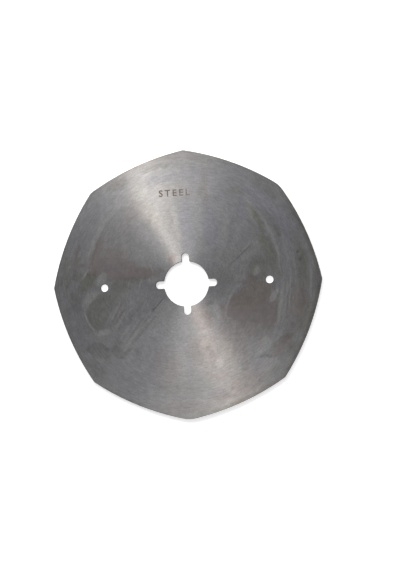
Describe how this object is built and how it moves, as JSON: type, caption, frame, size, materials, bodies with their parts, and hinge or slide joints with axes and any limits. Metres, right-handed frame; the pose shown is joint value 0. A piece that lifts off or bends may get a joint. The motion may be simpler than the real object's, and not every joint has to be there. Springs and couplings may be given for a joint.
{
  "type": "octagonal cloth cutter blade",
  "caption": "Flat octagonal rotary knife with curved ground sides, a keyed central bore and drive pin holes, for a hand-held cloth cutter.",
  "frame": {"origin": "centre of the bore on the plane of the flat underside that the blade lies on", "axes": "+Z along the bore axis, out of the flat marked face; +X along the line of the two pin holes; +Y completes the right-handed frame. The ground bevel is on the underside."},
  "size_m": [0.125, 0.1247, 0.0012],
  "materials": {
    "ground_steel": "ground in circles about the bore, with dried oil smears"
  },
  "bodies": {
    "root": {"blade": "ground_steel"}
  },
  "joints": []
}
